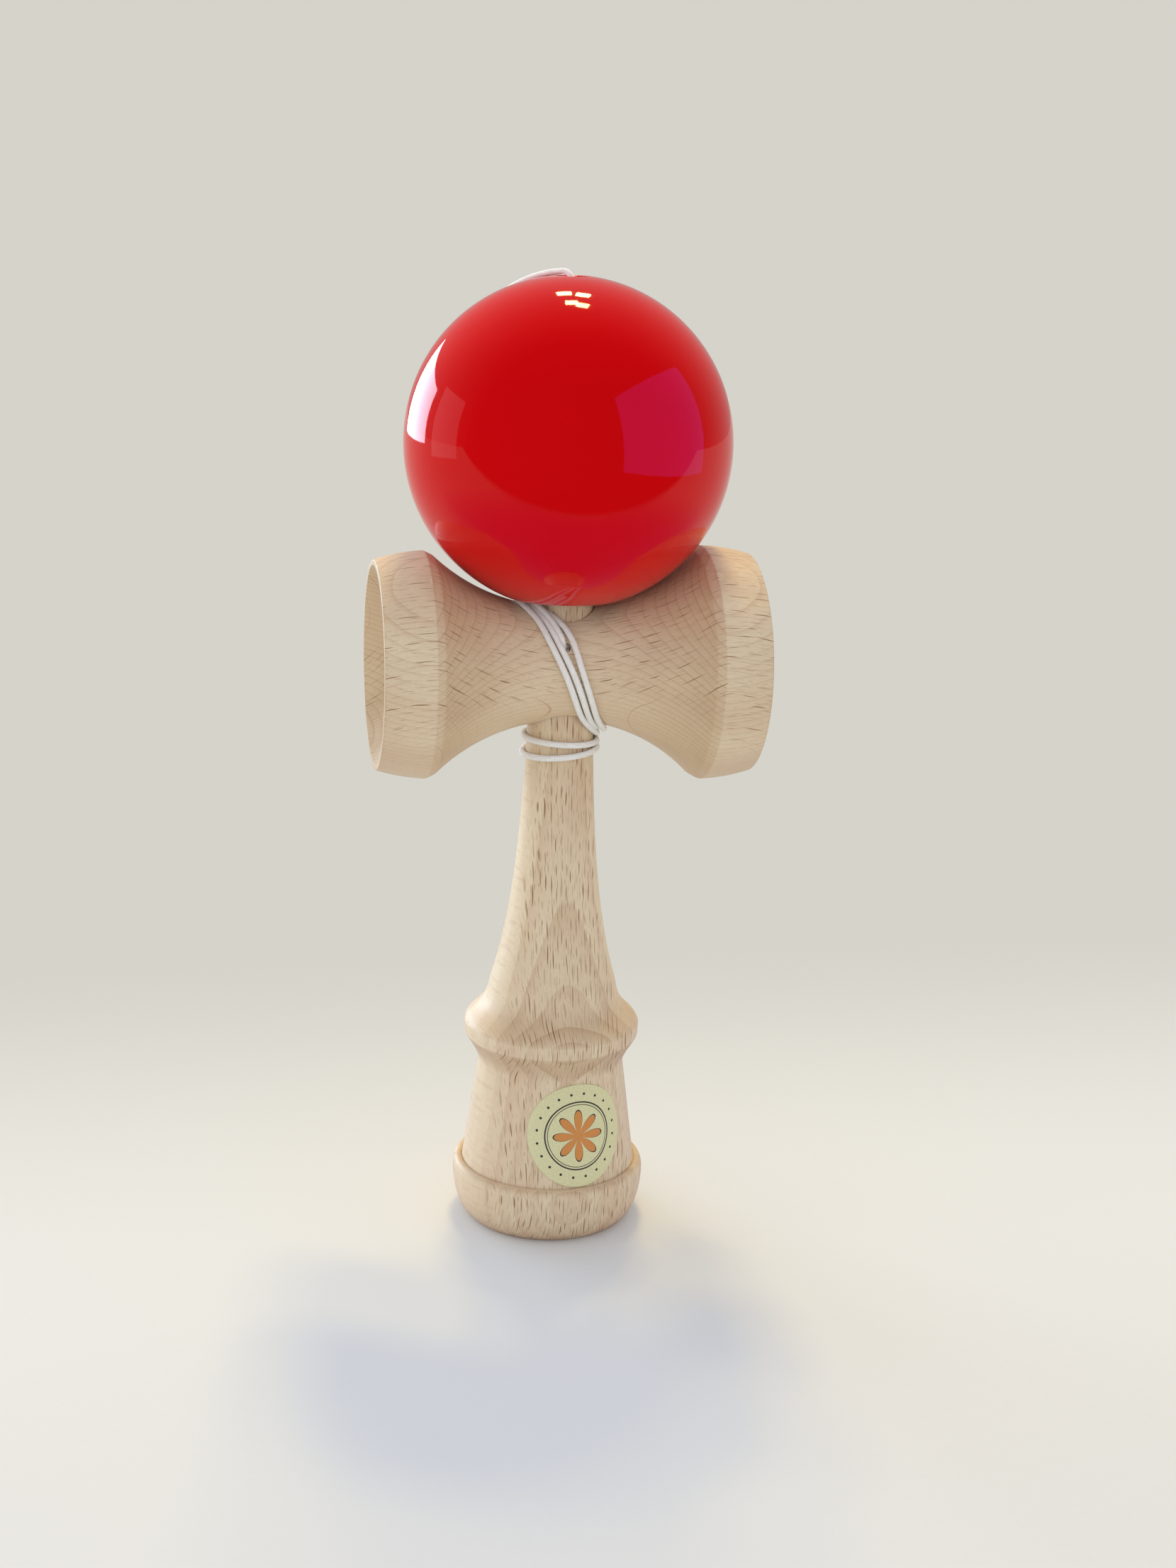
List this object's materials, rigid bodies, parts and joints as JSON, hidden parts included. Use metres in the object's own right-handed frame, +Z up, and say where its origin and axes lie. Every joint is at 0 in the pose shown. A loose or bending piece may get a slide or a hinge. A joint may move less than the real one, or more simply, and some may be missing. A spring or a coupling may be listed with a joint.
{
  "type": "cup and ball toy",
  "caption": "Turned wooden cup-and-ball toy: a stick with spike and foot cup, a cross-piece with a cup at each end, and a lacquered ball on a wound string.",
  "frame": {"origin": "centre of the stick's foot, on the surface it stands on", "axes": "+Z up along the stick to the spike; +X along the cross-piece towards its large cup; -Y the front, with the label"},
  "size_m": [0.0702, 0.06, 0.1823],
  "materials": {
    "beech_stick": "bare turned beech, grain along the stick",
    "beech_crosspiece": "bare turned beech, grain along the cross-piece",
    "red_lacquer": "high-gloss red lacquer on wood",
    "white_string": "braided white cord",
    "bead_wood": "bare wood",
    "label_paper": "coated paper sticker"
  },
  "bodies": {
    "ken": {"ken_stick": "beech_stick", "label": "label_paper"},
    "crosspiece": {"cup_crosspiece": "beech_crosspiece", "crosspiece_knot": "white_string", "string_winding": "white_string"},
    "tether": {"string_bead": "bead_wood", "bead_knot": "white_string", "string_to_ball": "white_string"},
    "ball": {"ball": "red_lacquer"}
  },
  "joints": [
    {"name": "crosspiece_slide", "type": "slide", "parent": "ken", "child": "crosspiece", "axis": [0, 0, 1], "range_m": [0, 0.065]},
    {"name": "ball_lift", "type": "slide", "parent": "crosspiece", "child": "tether", "axis": [0, 0, 1], "range_m": [0, 0.05]},
    {"name": "ball_spin", "type": "hinge", "parent": "tether", "child": "ball", "pos_m": [0, 0, 0.151], "axis": [0, 0, 1], "continuous": true}
  ]
}
